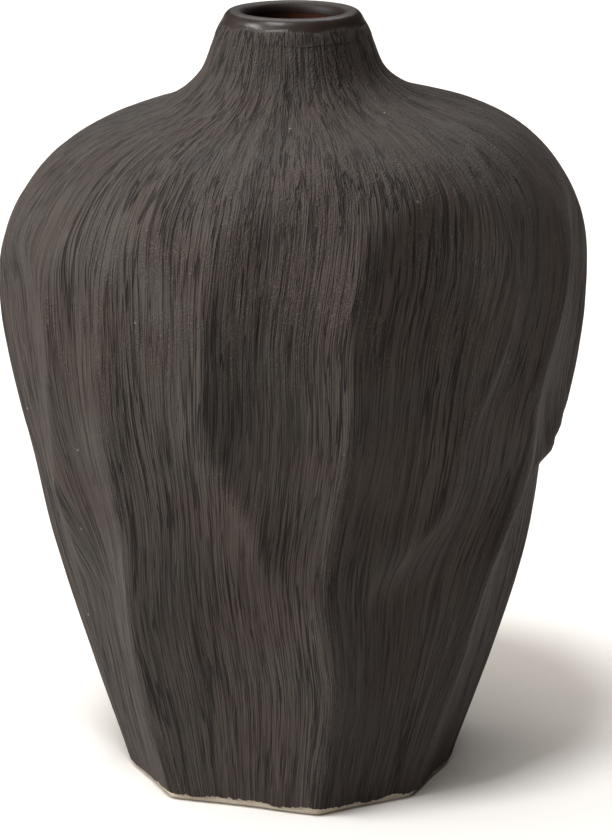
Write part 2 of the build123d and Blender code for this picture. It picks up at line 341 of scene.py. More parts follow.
def raise_rings(name, columns, rings):
    """Draws the first of the rings (radius, height) and raises the others from it."""
    deselect_all()
    first_radius, first_height = rings[0]
    bpy.ops.mesh.primitive_circle_add(vertices=columns, radius=first_radius,
                                      location=(0, 0, first_height))
    piece = bpy.context.object
    piece.name = piece.data.name = name
    bpy.ops.object.transform_apply(location=True, rotation=True, scale=True)
    bpy.ops.object.mode_set(mode="EDIT")
    bpy.ops.mesh.select_all(action="SELECT")
    for (radius, height), (next_radius, next_height) in zip(rings, rings[1:]):
        grown = next_radius / radius
        bpy.ops.mesh.extrude_region()
        bpy.ops.transform.translate(value=(0, 0, next_height - height))
        bpy.ops.transform.resize(value=(grown, grown, 1), center_override=(0, 0, next_height))
    bpy.ops.mesh.select_all(action="SELECT")
    bpy.ops.mesh.normals_make_consistent(inside=False)
    bpy.ops.object.mode_set(mode="OBJECT")
    return piece


def apply_modifier(piece, kind, **values):
    """Adds a modifier with these settings and applies it."""
    make_active(piece)
    modifier = piece.modifiers.new(kind.title(), kind)
    for key, value in values.items():
        setattr(modifier, key, value)
    bpy.ops.object.modifier_apply(modifier=modifier.name)


def places(mesh):
    """Every point's place, in rows."""
    spots = np.empty(len(mesh.vertices) * 3)
    mesh.vertices.foreach_get("co", spots)
    return spots.reshape(-1, 3)


def place(mesh, spots):
    """Moves every point to its row's place."""
    mesh.vertices.foreach_set("co", np.ascontiguousarray(spots, dtype=np.float32).ravel())
    mesh.update()


def normals(mesh):
    """Every point's direction out of the surface."""
    values = np.empty(len(mesh.vertices) * 3, dtype=np.float32)
    mesh.vertex_normals.foreach_get("vector", values)
    return values.reshape(-1, 3)


def store(mesh, name, values):
    """Keeps one number or one vector for each point, for the material to read."""
    single = values.ndim == 1
    attribute = mesh.attributes.new(name, "FLOAT" if single else "FLOAT_VECTOR", "POINT")
    key = "value" if single else "vector"
    attribute.data.foreach_set(key, np.ascontiguousarray(values, dtype=np.float32).ravel())


def press_onto(node, starts, directions):
    """Where each start meets the outside of a node, on its way in."""
    met = []
    for start, direction in zip(starts, directions):
        hit, spot, _, _ = node.ray_cast(Vector(start), Vector(direction), distance=2 * REACH)
        if not hit:
            raise RuntimeError(f"{node.name} isn't met from {start}")
        met.append(tuple(spot))
    return np.array(met)


def keep_off(mesh, other, gap):
    """Lifts the points that lie under another object's outside, or nearer to it than gap."""
    outside = BVHTree.FromObject(other, bpy.context.evaluated_depsgraph_get())
    spots = places(mesh)
    for index, spot in enumerate(spots):
        near, out, _, _ = outside.find_nearest(Vector(spot))
        if (Vector(spot) - near).dot(out) < gap:
            spots[index] = near + out * gap
    place(mesh, spots)


def in_plane(angle, out, up):
    """Points or directions at these angles (degrees), this far out and up."""
    turn = np.radians(angle)
    return np.stack([out * np.sin(turn), -out * np.cos(turn), up], axis=1)


def finish_piece(piece, node, material):
    """Gives a modelled piece its finish and its place in the frame."""
    piece.data.materials.clear()
    piece.data.materials.append(material)
    make_active(piece)
    bpy.ops.object.shade_smooth_by_angle(angle=SMOOTH_BELOW)
    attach(piece, "root")
    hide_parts(node)


def dress(node, material):
    """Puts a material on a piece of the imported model."""
    for holder in NODES[node].material_slots:
        holder.material = material


# ---- the coat -------------------------------------------------------------------------------
EDGE_MARGIN = 0.1 * MM        # the coat's own edges keep this far from the fired shape's
EDGE_FADE = 8 * MM            # the ragged edge dies away over this height
UPRIGHT = (115 * MM, 145 * MM)    # the coat is pressed straight inwards below this band
BACK_DEPTH = 0.98 * SKIN      # the coat's inside lies this deep under its outside
UNSMOOTHED = (5 * MM, 1 * MM)     # this much at the lower and at the upper edge isn't smoothed
MOST_WORN = 0.15 * MM         # smoothing takes no more than this off the crests
DEEPEST = 0.50 * MM           # no mark goes deeper than this, so that no clay shows
CLAY_GAP = 0.22 * MM          # the coat's outside is at least this far from the clay
BACK_GAP = 0.08 * MM          # the coat's outside is at least this far from its inside
RIMS = ((0, 100 * MM), (190 * MM, 200 * MM))    # heights that hold the lower and the upper rim

# Heights over which one kind of mark gives way to the next, and how far their ends stray.
FLUTES_END = (138 * MM, 160 * MM)
NECK_BEGINS = (169 * MM, 178 * MM)
ENDS_STRAY = 2.5 * MM
# Heights over which the dents begin at the foot and end at the lip, and the strokes begin.
DENTS_BEGIN = (1.2 * MM, 7.2 * MM)
DENTS_END = (192.6 * MM, 194.6 * MM)
STROKES_BEGIN = (2 * MM, 12 * MM)
# The coat is a little lower where the lip's gloss runs over it: over these heights, by this much.
UNDER_LIP = (191.5 * MM, 194 * MM)
LIP_SINK = 0.06 * MM
CREST_SINK = 1.1 * MM         # a crest's thin coat ends about this far below the crest
CREASE_WIDTH = 1.3 * MM
CREASE_FADE = 6 * MM          # a crease comes and goes over this much either side of its ends
NECK_GROOVES_FROM = radians(20)    # the neck is grooved most a quarter turn on from here


def coat_rings(count):
    """Rings at even steps up the outline."""
    low = length_at(COAT_LOW.z + EDGE_MARGIN)
    high = length_at(COAT_HIGH.z - EDGE_MARGIN)
    heights, radii = outline_at(np.linspace(low, high, count + 1))
    return list(zip(radii.tolist(), heights.tolist()))


def edge_wander(home, ragged):
    """How far up the ragged lower edge lies: broad tongues with small nicks."""
    level = np.zeros_like(home)
    uneven = 0.45 + 0.35 * EDGE_BROAD(home, level) + 0.30 * np.abs(EDGE_NICKS(home, level))
    return ragged * np.clip(uneven, 0, 2.0)


def outward(length, height):
    """Direction out of the outline, as its parts out and up. It is level below UPRIGHT."""
    ahead_height, ahead_radius = outline_at(length + MM)
    back_height, back_radius = outline_at(length - MM)
    climb = np.hypot(ahead_height - back_height, ahead_radius - back_radius)
    leaning = rise(height, *UPRIGHT)
    out = (ahead_height - back_height) / climb * leaning + 1 - leaning
    up = (back_radius - ahead_radius) / climb * leaning
    size = np.hypot(out, up)
    return out / size, up / size


def press_coat(mesh, ragged, even=False):
    """Leads every point along the crests and presses it onto the fired outside.

    The lower edge wanders up by about ragged, or is even and just above that."""
    spots = places(mesh)
    home = bearing_of(spots)
    bottom, top = length_at(COAT_LOW.z + EDGE_MARGIN), length_at(COAT_HIGH.z - EDGE_MARGIN)
    length = np.clip(length_at(spots[:, 2]), bottom, top)
    wander = 2 * ragged if even else edge_wander(home, ragged)
    length = length + wander * rise(length, bottom + EDGE_FADE, bottom)
    height, radius = outline_at(length)
    angle = led_angle(home, height)
    out, up = outward(length, height)
    starts = in_plane(angle, radius + REACH * out, height + REACH * up)
    place(mesh, press_onto(NODES["outer_glaze"], starts, -in_plane(angle, out, up)))
    return home, length


def crease_depth(spots):
    """0 to 1: how near each point is to the bottom of one of the tool's creases."""
    depth = np.zeros(len(spots))
    angle, radius, height = bearing_of(spots), radius_of(spots), spots[:, 2]
    for points in TOOL_CREASES:
        angles, heights = np.array(points[::-1], float).T
        heights = heights * MM
        middle = np.interp(height, heights, angles)
        beside = np.radians((angle - middle + 180) % 360 - 180) * radius
        ends = rise(height, heights[0] - CREASE_FADE, heights[0] + CREASE_FADE)
        ends = ends * rise(height, heights[-1] + CREASE_FADE, heights[-1] - CREASE_FADE)
        depth = np.maximum(depth, np.exp(-(beside / CREASE_WIDTH) ** 2) * ends)
    return depth


def warped(home, length):
    """The home of each point's mark, a little off straight as a hand would draw it."""
    return home + 0.5 * SWAY(home, length)


def stroke_marks(home, length, warp):
    """0 to 1: the long and short strokes down the flutes, in busy and in quiet patches."""
    short_ones = rise(SHORT_STROKES(warp, length), 0.3, 2.0)
    long_ones = rise(LONG_STROKES(warp, length), 0.5, 2.0)
    busy = rise(BUSY_FLUTES(home, length), -0.9, 0.9)
    return np.maximum(short_ones, 0.8 * long_ones) * (0.35 + 0.65 * busy)


def shoulder_marks(home, length, warp):
    """0 to 1: the short grooves over the shoulder, in busy and in quiet patches."""
    busy = rise(BUSY_SHOULDER(home, length), -0.6, 0.8)
    return rise(SHOULDER_GROOVES(warp, length), 0.5, 2.2) * (0.3 + 0.7 * busy)


def neck_marks(warp, length, angle):
    """0 to 1: the grooves up the neck, which are deepest to the right of the front."""
    right = 0.5 + 0.5 * np.sin(np.radians(angle) - NECK_GROOVES_FROM)
    return rise(NECK_GROOVES(warp, length), 0.2, 1.9) * (0.30 + 0.70 * right)


def hand_dents(home, length, on_flutes, on_shoulder):
    """0 to 1: the soft dents of the hand, broad all over and small on the shoulder."""
    dents = BROAD_DENTS(home, length) * (on_flutes + 0.6 * on_shoulder)
    dents = dents + SMALL_DENTS(home, length) * on_shoulder * 0.7
    return np.clip(0.5 + 0.35 * dents, 0, 1)


def store_flow(mesh, warp, length, marks):
    """Keeps the way the marks run and how deep they are, for the material."""
    turn = np.radians(warp)
    flow = np.stack([BELLY_RADIUS * np.sin(turn), -BELLY_RADIUS * np.cos(turn), length], axis=1)
    store(mesh, "flow", flow)
    store(mesh, "marks", np.clip(marks, 0, 1))


def carve_coat(mesh, settings, home, length, worn_off):
    """Presses the marks of brush, tool and hand into the coat, and keeps what they did.

    worn_off is how deep the smoothing has already gone at each point."""
    spots = places(mesh)
    height = spots[:, 2]
    stray = ENDS_STRAY * BAND_ENDS(home, length)
    on_flutes = 1 - rise(height + stray, *FLUTES_END)
    on_neck = rise(height + stray, *NECK_BEGINS)
    on_shoulder = (1 - on_flutes) * (1 - on_neck)

    warp = warped(home, length)
    strokes = stroke_marks(home, length, warp) * on_flutes
    grooves = shoulder_marks(home, length, warp) * on_shoulder
    grooves = grooves + neck_marks(warp, length, bearing_of(spots)) * on_neck
    dents = hand_dents(home, length, on_flutes, on_shoulder)
    dents = dents * rise(height, *DENTS_BEGIN) * (1 - rise(height, *DENTS_END))

    depth = settings.wobble * dents + settings.strokes * strokes * rise(height, *STROKES_BEGIN)
    depth = depth + settings.grooves * grooves + settings.crease * crease_depth(spots)
    depth = depth + LIP_SINK * rise(height, *UNDER_LIP)
    depth = np.clip(depth, 0, np.clip(DEEPEST - np.clip(worn_off, 0, None), 0, None))
    place(mesh, spots - normals(mesh) * depth[:, None])

    sunken = np.interp(height, OUTLINE[:, 0], OUTLINE[:, 1]) - radius_of(spots)
    store_flow(mesh, warp, length, strokes + grooves)
    store(mesh, "crest", np.exp(-np.clip(sunken, 0, None) / CREST_SINK) * on_flutes)


def smooth_coat(coat, length):
    """Smooths the pressed coat away from its edges, and returns how much that took off.

    Where it took off more than MOST_WORN, the coat is moved back out."""
    pressed = places(coat.data)
    inner_rows = coat.vertex_groups.new(name="inner_rows")
    keep = (length > length.min() + UNSMOOTHED[0]) & (length < length.max() - UNSMOOTHED[1])
    inner_rows.add(np.nonzero(keep)[0].tolist(), 1.0, "REPLACE")
    apply_modifier(coat, "SMOOTH", factor=0.5, iterations=5, vertex_group="inner_rows")
    worn_off = ((pressed - places(coat.data)) * normals(coat.data)).sum(axis=1)
    too_much = np.clip(worn_off - MOST_WORN, 0, None)
    place(coat.data, places(coat.data) + normals(coat.data) * too_much[:, None])
    return worn_off - too_much


def model_coat(settings):
    """The coat as a closed skin: a carved outside, a plain inside, and rims that join them."""
    back = raise_rings("coat_back", settings.columns, coat_rings(2 * settings.rings))
    press_coat(back.data, settings.ragged, even=True)
    place(back.data, places(back.data) - normals(back.data) * BACK_DEPTH)

    coat = raise_rings("brushed_coat", settings.columns, coat_rings(settings.rings))
    apply_modifier(coat, "SUBSURF", levels=2, render_levels=2)
    home, length = press_coat(coat.data, settings.ragged)
    worn_off = smooth_coat(coat, length)
    carve_coat(coat.data, settings, home, length, worn_off)
    keep_off(coat.data, NODES["clay_body"], CLAY_GAP)
    keep_off(coat.data, back, BACK_GAP)
    join_back(coat, back)
    return coat


def join_back(coat, back):
    """Turns the back to face inwards, and joins it to the coat rim to rim."""
    make_active(back)
    bpy.ops.object.mode_set(mode="EDIT")
    bpy.ops.mesh.select_all(action="SELECT")
    bpy.ops.mesh.flip_normals()
    bpy.ops.object.mode_set(mode="OBJECT")
    make_active(coat)
    back.select_set(True)
    bpy.ops.object.join()
    bpy.ops.object.mode_set(mode="EDIT")
    for low, high in RIMS:
        bpy.ops.mesh.select_mode(type="EDGE")
        bpy.ops.mesh.select_all(action="DESELECT")
        select_rim(coat, low, high)
        bpy.ops.mesh.bridge_edge_loops()
    bpy.ops.object.mode_set(mode="OBJECT")


def select_rim(piece, low, high):
    """Selects the open edges between two heights, in edit mode."""
    mesh = bmesh.from_edit_mesh(piece.data)
    for edge in mesh.edges:
        if edge.is_boundary and all(low <= point.co.z <= high for point in edge.verts):
            edge.select_set(True)
    bmesh.update_edit_mesh(piece.data)


# ---- the lip --------------------------------------------------------------------------------
LIP_MIDDLE = np.array([15.75, 195.0]) * MM    # radius and height of the middle of the lip
LIP_HALF = np.array([6.0, 5.0]) * MM          # the first rings lie this far out and up from it
LIP_TURNS = np.radians((-6, 194))             # from its foot outside, over the top, to the inside
INNER_FOOT = np.array([12.0, 197.1]) * MM     # radius and height where the lip's inside ends
NECK_SLOPE = 0.36                             # the neck widens by this much for each step down
AROUND_LIP = 19 * MM                          # length over the lip, from foot to foot
LIP_FOOT = 0.12                               # share of that length where the gloss has run down
NECK_MARKS_END = (0.12, 0.30)                 # shares over which the neck's grooves end
DENTS_OVER = 12 * MM                          # length over which the gloss's dents are laid out
LIP_DENT = 0.07 * MM                          # depth of these dents
LIP_INSET = 0.02 * MM                         # and how far all of it stays inside the fired lip
LIP_THICKNESS = 0.9 * SKIN


def lip_homes(angle):
    """Homes of the marks that reach the lip at these angles."""
    homes = np.linspace(CREST_HOMES[0], CREST_HOMES[0] + 360, 721)
    reached = led_angle(homes[:-1], np.full(len(homes) - 1, LIP_LOW.z))
    reached = np.append(reached, reached[0] + 360)
    return np.interp((angle - reached[0]) % 360 + reached[0], reached, homes)


def share_over(spots, turns):
    """0 to 1: how far over the first rings each point lies, from outside to inside."""
    out = (radius_of(spots) - LIP_MIDDLE[0]) / LIP_HALF[0]
    up = (spots[:, 2] - LIP_MIDDLE[1]) / LIP_HALF[1]
    turn = np.arctan2(up, out)
    turn = np.where(turn < -pi / 2, turn + 2 * pi, turn)
    return (turn - turns[0]) / (turns[-1] - turns[0])


def press_lip(angle, over):
    """Where the points lie on the fired lip, fanned out round its middle."""
    low = np.arctan2(LIP_LOW.z + EDGE_MARGIN - LIP_MIDDLE[1], LIP_HIGH.x - LIP_MIDDLE[0])
    high = np.arctan2(INNER_FOOT[1] - LIP_MIDDLE[1], INNER_FOOT[0] - LIP_MIDDLE[0])
    aim = low + (high - low) * over
    out, up = np.cos(aim), np.sin(aim)
    starts = in_plane(angle, LIP_MIDDLE[0] + REACH * out, LIP_MIDDLE[1] + REACH * up)
    return press_onto(NODES["lip_glaze"], starts, -in_plane(angle, out, up))


def model_lip(settings):
    """The gloss band: its outside follows the fired lip and runs down a little onto the coat."""
    turns = np.linspace(*LIP_TURNS, settings.rings)
    rings = [(LIP_MIDDLE[0] + LIP_HALF[0] * cos(turn), LIP_MIDDLE[1] + LIP_HALF[1] * sin(turn))
             for turn in turns]
    lip = raise_rings("lip_gloss", settings.columns, rings)
    spots = places(lip.data)
    angle, over = bearing_of(spots), share_over(spots, turns)
    spots = press_lip(angle, over)

    foot = rise(over, LIP_FOOT, 0)
    tongues = np.clip(0.8 + 0.3 * LIP_TONGUES(angle, np.zeros_like(angle)), 0.6, 1.6)
    run = settings.run * tongues * foot
    spots[:, 2] -= run
    spots[:, :2] *= 1 + (NECK_SLOPE * run / radius_of(spots))[:, None]
    place(lip.data, spots)

    home = lip_homes(angle)
    length = length_at(LIP_LOW.z) + AROUND_LIP * over - run
    warp = warped(home, length)
    marks = neck_marks(warp, length, angle) * (1 - rise(over, *NECK_MARKS_END))
    dents = np.clip(0.8 + 0.5 * LIP_DENTS(angle, over * DENTS_OVER), 0, 2) * (1 - foot)
    inward = LIP_DENT * dents + LIP_INSET + settings.grooves * marks
    place(lip.data, spots - normals(lip.data) * inward[:, None])
    store_flow(lip.data, warp, length, marks)
    store(lip.data, "over", over)
    apply_modifier(lip, "SOLIDIFY", thickness=LIP_THICKNESS, offset=-1, use_even_offset=True)
    return lip


# ---- materials --------------------------------------------------------------------------------
# Fine grooves: how much of the belly's width they are spread over, how many times longer than wide
# they are, and a shift of their own.
BELLY_GROOVING = (1.0, 38, 0.0)
SHOULDER_GROOVING = (0.72, 17, 0.31)
NECK_GROOVING = (0.30, 15, 0.67)
# Two sets of grooves lie over each other: size of the noise that draws them, and how far from its
# middle value a groove still reaches.
GROOVE_SETS = ((1.6 * MM, 0.030), (1.0 * MM, 0.034))
GROOVE_BREAKS = (0.38, 0.50)  # values of another noise between which a groove comes in
NEXT_SHIFT = 0.17             # shift from one drawn-out noise to the next
GRAIN_SIZE = 0.45 * MM        # width of the grain between the grooves
GRIT_SIZE = 0.55 * MM
GROOVE_DARK = 0.92            # share of the near-black colour in the fine grooves: painted groove shade and collected glaze
MARK_DARK = 0.40              # and in the modelled marks
# Lengths up the outline over which one kind of fine groove gives way to the next. Each streak's
# own end, up to STREAK_STRAY, is added to its length first.
SHOULDER_GROOVING_FROM = (198 * MM, 203 * MM)
NECK_GROOVING_FROM = (230 * MM, 233 * MM)
STREAK_STRAY = 60 * MM
# Lengths up the outline over which the grit of the shoulder's brow comes in and goes.
BROW_BEGINS = (105 * MM, 140 * MM)
BROW_ENDS = (160 * MM, 190 * MM)
SPECK_SPACING = 7.5 * MM
SPECK_SIZE = (0.055, 0.030)   # outer and inner radius of a speck, in spacings
SPECK_PICKED = (0.84, 0.86)   # only the cells whose number is above these have a speck
SPECK_COLOUR = (0.24, 0.21, 0.18)


class Recipe:
    """A material under construction: each call adds a node and returns its output."""

    def __init__(self, name, roughness, specular):
        self.material = bpy.data.materials.new(name)
        self.material.use_nodes = True
        self.tree = self.material.node_tree
        self.shader = self.tree.nodes["Principled BSDF"]
        self.shader.inputs["Roughness"].default_value = roughness
        self.shader.inputs["Specular IOR Level"].default_value = specular

    def node(self, kind, **values):
        """Adds a node with these settings."""
        node = self.tree.nodes.new("ShaderNode" + kind)
        for key, value in values.items():
            setattr(node, key, value)
        return node

    def put(self, value, socket):
        """Sets a socket, or links it where the value is another node's output."""
        if isinstance(value, bpy.types.NodeSocket):
            self.tree.links.new(value, socket)
        else:
            socket.default_value = value

    def spot(self):
        """Place on the object."""
        return self.node("TexCoord").outputs["Object"]

    def kept(self, name, output="Fac"):
        """What store() kept under this name."""
        return self.node("Attribute", attribute_name=name).outputs[output]

    def height_of(self, vector):
        """The third number of a vector."""
        split = self.node("SeparateXYZ")
        self.put(vector, split.inputs[0])
        return split.outputs["Z"]

    def scaled(self, vector, scale):
        """A vector with each of its numbers scaled."""
        node = self.node("VectorMath", operation="MULTIPLY")
        self.put(vector, node.inputs[0])
        self.put(scale, node.inputs[1])
        return node.outputs["Vector"]

    def noise(self, vector, size, detail=2.0, rough=0.5, warp=0.0):
        """Soft noise whose features are about this size, in metres."""
        node = self.node("TexNoise")
        self.put(vector, node.inputs["Vector"])
        node.inputs["Scale"].default_value = 1 / size
        node.inputs["Detail"].default_value = detail
        node.inputs["Roughness"].default_value = rough
        node.inputs["Distortion"].default_value = warp
        return node.outputs["Fac"]

    def math(self, operation, *values):
        """A number worked out from one or two others."""
        node = self.node("Math", operation=operation)
        for value, socket in zip(values, node.inputs):
            self.put(value, socket)
        return node.outputs["Value"]

    def sum(self, first, second):
        return self.math("ADD", first, second)

    def product(self, first, second):
        return self.math("MULTIPLY", first, second)

    def larger(self, first, second):
        return self.math("MAXIMUM", first, second)

    def blended(self, share, first, second):
        """From the first number to the second, by share."""
        return self.sum(self.product(first, self.math("SUBTRACT", 1.0, share)),
                        self.product(second, share))

    def between(self, value, low, high, to_low=0.0, to_high=1.0):
        """A smooth step from to_low to to_high as the value goes from low to high."""
        node = self.node("MapRange", interpolation_type="SMOOTHSTEP")
        for socket, number in zip(node.inputs, (value, low, high, to_low, to_high)):
            self.put(number, socket)
        return node.outputs["Result"]

    def mixed(self, share, first, second):
        """From the first colour to the second, by share."""
        node = self.node("Mix", data_type="RGBA")
        self.put(share, node.inputs["Factor"])
        sockets = [socket for socket in node.inputs if socket.type == "RGBA"]
        for colour, socket in zip((first, second), sockets):
            is_link = isinstance(colour, bpy.types.NodeSocket)
            self.put(colour if is_link else (*colour, 1.0), socket)
        return [socket for socket in node.outputs if socket.type == "RGBA"][0]

    def stretched(self, flow, size, share, stretch, shift):
        """Noise drawn out along the flow."""
        moved = self.node("Mapping", vector_type="POINT")
        self.put(flow, moved.inputs["Vector"])
        moved.inputs["Location"].default_value = (0, 0, shift)
        moved.inputs["Scale"].default_value = (share, share, 1 / stretch)
        return self.noise(moved.outputs["Vector"], size, rough=0.45, warp=0.08)

    def combed(self, flow, share, stretch, shift):
        """Thin grooves along the flow, from 0 to 1, and the grain between them.

        A groove lies where a drawn-out noise passes its middle value, and another noise
        breaks it into lengths."""
        sets = []
        for size, reach in GROOVE_SETS:
            drawn = self.stretched(flow, size, share, stretch, shift)
            off_middle = self.math("ABSOLUTE", self.math("SUBTRACT", drawn, 0.5))
            lines = self.between(off_middle, reach, 0.25 * reach)
            shift += NEXT_SHIFT
            breaks = self.stretched(flow, 1.5 * size, share, 0.5 * stretch, shift)
            sets.append(self.product(lines, self.between(breaks, *GROOVE_BREAKS)))
            shift += NEXT_SHIFT
        return self.larger(*sets), self.stretched(flow, GRAIN_SIZE, share, stretch, shift)

    def finish(self, colour, roughness, height):
        """Wires colour, roughness and a height in millimetres to the shader."""
        bump = self.node("Bump")
        bump.inputs["Distance"].default_value = MM
        self.put(height, bump.inputs["Height"])
        self.put(bump.outputs["Normal"], self.shader.inputs["Normal"])
        self.put(colour, self.shader.inputs["Base Color"])
        self.put(roughness, self.shader.inputs["Roughness"])
        return self.material


def coat_grooves(coat, flow):
    """The coat's fine grooves and grain, and where its shoulder and neck are, from 0 to 1.

    Belly, shoulder and neck are grooved in their own ways, and each streak has its own end."""
    own_end = coat.noise(coat.scaled(flow, (0.5, 0.5, 0.04)), 1.5 * MM)
    length = coat.sum(coat.height_of(flow), coat.product(own_end, STREAK_STRAY))
    above_belly = coat.between(length, *SHOULDER_GROOVING_FROM)
    on_neck = coat.between(length, *NECK_GROOVING_FROM)
    belly, shoulder, neck = [coat.combed(flow, *grooving) for grooving in
                             (BELLY_GROOVING, SHOULDER_GROOVING, NECK_GROOVING)]
    grooves, grain = [coat.blended(above_belly, low, coat.blended(on_neck, middle, high))
                      for low, middle, high in zip(belly, shoulder, neck)]
    patches = coat.noise(coat.scaled(flow, (1, 1, 0.4)), 16 * MM, detail=1.0)
    busy = coat.between(patches, 0.36, 0.62)
    grooves = coat.product(grooves, coat.sum(coat.product(busy, 0.45), 0.55))
    return grooves, grain, above_belly


def coat_grit(coat, spot, flow):
    """Grit, and how much of it shows, from 0 to 1: most on the crests and the shoulder's brow."""
    length = coat.height_of(flow)
    brow = coat.product(coat.between(length, *BROW_BEGINS), coat.between(length, *BROW_ENDS[::-1]))
    gritty = coat.larger(coat.kept("crest"), coat.product(brow, 0.80))
    patches = coat.between(coat.noise(spot, 11 * MM), 0.40, 0.58)
    return coat.noise(spot, GRIT_SIZE, detail=3.0, rough=0.6), coat.product(gritty, patches)


def coat_specks(coat, spot):
    """0 to 1: scattered round grains, each in the middle of a cell."""
    cells = coat.node("TexVoronoi", feature="F1")
    coat.put(spot, cells.inputs["Vector"])
    cells.inputs["Scale"].default_value = 1 / SPECK_SPACING
    number = coat.node("SeparateColor")
    coat.put(cells.outputs["Color"], number.inputs["Color"])
    return coat.product(coat.between(cells.outputs["Distance"], *SPECK_SIZE),
                        coat.between(number.outputs["Red"], *SPECK_PICKED))


def darkened(recipe, colour, grooves, settings):
    """A colour with the near-black one in its fine grooves and modelled marks: painted shade that
    falls in them, and glaze that collects there.
    """
    marks = recipe.product(recipe.kept("marks"), MARK_DARK)
    return recipe.mixed(recipe.larger(recipe.product(grooves, GROOVE_DARK), marks), colour,
                        settings.pooled_and_groove_shade)


def coat_material(settings):
    """Matte brown coat, combed along its flow: dark in the marks with painted shade and collected
    glaze, pale on crests and grit.
    """
    coat = Recipe("brushed_coat", roughness=0.7, specular=0.18)
    spot, flow = coat.spot(), coat.kept("flow", "Vector")
    grooves, grain, above_belly = coat_grooves(coat, flow)
    grit, gritty = coat_grit(coat, spot, flow)
    speck = coat_specks(coat, spot)

    patches = coat.between(coat.noise(spot, 28 * MM, detail=3.0, rough=0.55, warp=0.6), 0.42, 0.60)
    streaks = coat.noise(coat.scaled(flow, (1, 1, 0.05)), 3 * MM)
    thin = coat.between(coat.blended(0.5, streaks, grain), 0.38, 0.62)
    worn = coat.product(coat.between(grit, 0.54, 0.70), coat.sum(coat.product(gritty, 0.75), 0.12))
    colour = coat.mixed(patches, settings.earth, settings.moss)
    colour = coat.mixed(coat.product(thin, 0.22), colour, settings.worn)
    colour = coat.mixed(worn, colour, settings.worn)
    # Painted shade: near-black in the fine grooves and modelled marks, with some collected glaze.
    colour = darkened(coat, colour, grooves, settings)
    colour = coat.mixed(coat.product(speck, 0.70), colour, SPECK_COLOUR)

    height = coat.sum(coat.product(grooves, -0.40), coat.product(grain, 0.40))
    roughest = coat.sum(coat.product(coat.larger(gritty, above_belly), 0.45), 0.22)
    height = coat.sum(height, coat.product(grit, roughest))
    height = coat.sum(height, coat.product(speck, 0.15))
    return coat.finish(colour, 0.70, height)


def lip_material(settings):
    """Dark gloss: brushed like the coat at its foot, and near-black red-brown with painted shade on
    its inner side, down towards the mouth.
    """
    gloss = Recipe("lip_gloss", roughness=0.4, specular=0.18)
    spot, flow, over = gloss.spot(), gloss.kept("flow", "Vector"), gloss.kept("over")
    uneven = gloss.product(gloss.math("SUBTRACT", gloss.noise(spot, 5 * MM), 0.5), 0.30)
    brushed = gloss.between(gloss.sum(over, uneven), 0.34, 0.16)
    inside = gloss.between(over, 0.50, 0.64)
    grooves, grain = gloss.combed(flow, *NECK_GROOVING)
    grooves = gloss.product(grooves, brushed)

    cloud = gloss.noise(gloss.scaled(spot, (1, 1, 1.6)), 7 * MM, detail=3.0)
    colour = gloss.mixed(gloss.between(cloud, 0.35, 0.70), settings.colour, settings.thin)
    colour = gloss.mixed(brushed, colour, settings.brushed)
    # Painted shade: near-black in the marks at the lip's foot, with some collected glaze.
    colour = darkened(gloss, colour, grooves, settings)
    # Painted shade over the lip's inner side, towards the mouth.
    colour = gloss.mixed(inside, colour, settings.inside)
    dull = gloss.larger(brushed, gloss.product(inside, 0.6))
    roughness = gloss.between(dull, 0.0, 1.0, 0.30, 0.70)

    grit = gloss.product(gloss.noise(spot, GRIT_SIZE, detail=3.0, rough=0.6), brushed)
    height = gloss.product(gloss.noise(spot, 3.5 * MM), 0.12)
    height = gloss.sum(height, gloss.product(grit, 0.20))
    relief = gloss.sum(gloss.product(grain, 0.34), gloss.product(grooves, -0.34))
    height = gloss.sum(height, gloss.product(relief, brushed))
    return gloss.finish(colour, roughness, height)


def lining_material(settings):
    """Red-brown gloss, darker in random patches of heavier glaze, and darker towards the bottom with
    painted shade deep in the vase.
    """
    gloss = Recipe("lining_gloss", roughness=0.3, specular=0.3)
    spot = gloss.spot()
    cloud = gloss.noise(spot, 12 * MM, detail=3.0)
    # Painted shade: the lining darkens from near the mouth down to the bottom.
    painted_depth_shade = gloss.between(gloss.height_of(spot), 170 * MM, 20 * MM)
    thick_and_shaded = gloss.larger(gloss.product(gloss.between(cloud, 0.40, 0.65), 0.6), painted_depth_shade)
    colour = gloss.mixed(thick_and_shaded, settings.colour, settings.thick_and_shaded)
    roughness = gloss.between(cloud, 0.35, 0.70, 0.26, 0.40)
    height = gloss.product(gloss.noise(spot, 5 * MM), 0.12)
    return gloss.finish(colour, roughness, height)


def clay_material(settings):
    """Cream stoneware with darker grog and a sandy surface."""
    clay = Recipe("bare_clay", roughness=0.9, specular=0.3)
    spot = clay.spot()
    grog = clay.between(clay.noise(spot, 0.9 * MM, detail=3.0, rough=0.65), 0.56, 0.70)
    stain = clay.between(clay.noise(spot, 10 * MM, detail=3.0), 0.40, 0.66)
    share = clay.sum(clay.product(grog, 0.6), clay.product(stain, 0.25))
    colour = clay.mixed(share, settings.colour, settings.speckle)
    roughness = clay.between(grog, 0.0, 1.0, 0.86, 0.95)
    height = clay.product(clay.noise(spot, 0.5 * MM, detail=4.0, rough=0.7), 0.30)
    return clay.finish(colour, roughness, height)


def table_material(settings):
    """Pale matte table."""
    table = Recipe("pale_table", roughness=0.9, specular=0.1)
    table.put((*settings.table, 1.0), table.shader.inputs["Base Color"])
    return table.material


# ---- the stage --------------------------------------------------------------------------------
TABLE_SIZE = 12
TABLE_MIDDLE = (0, 3, 0)
FILL_COLOUR = (1.0, 0.93, 0.85, 1.0)
FARTHEST = 30                 # the camera sees this far
WHITE = (1.0, 1.0, 1.0)
WARM = (1.0, 0.94, 0.87)
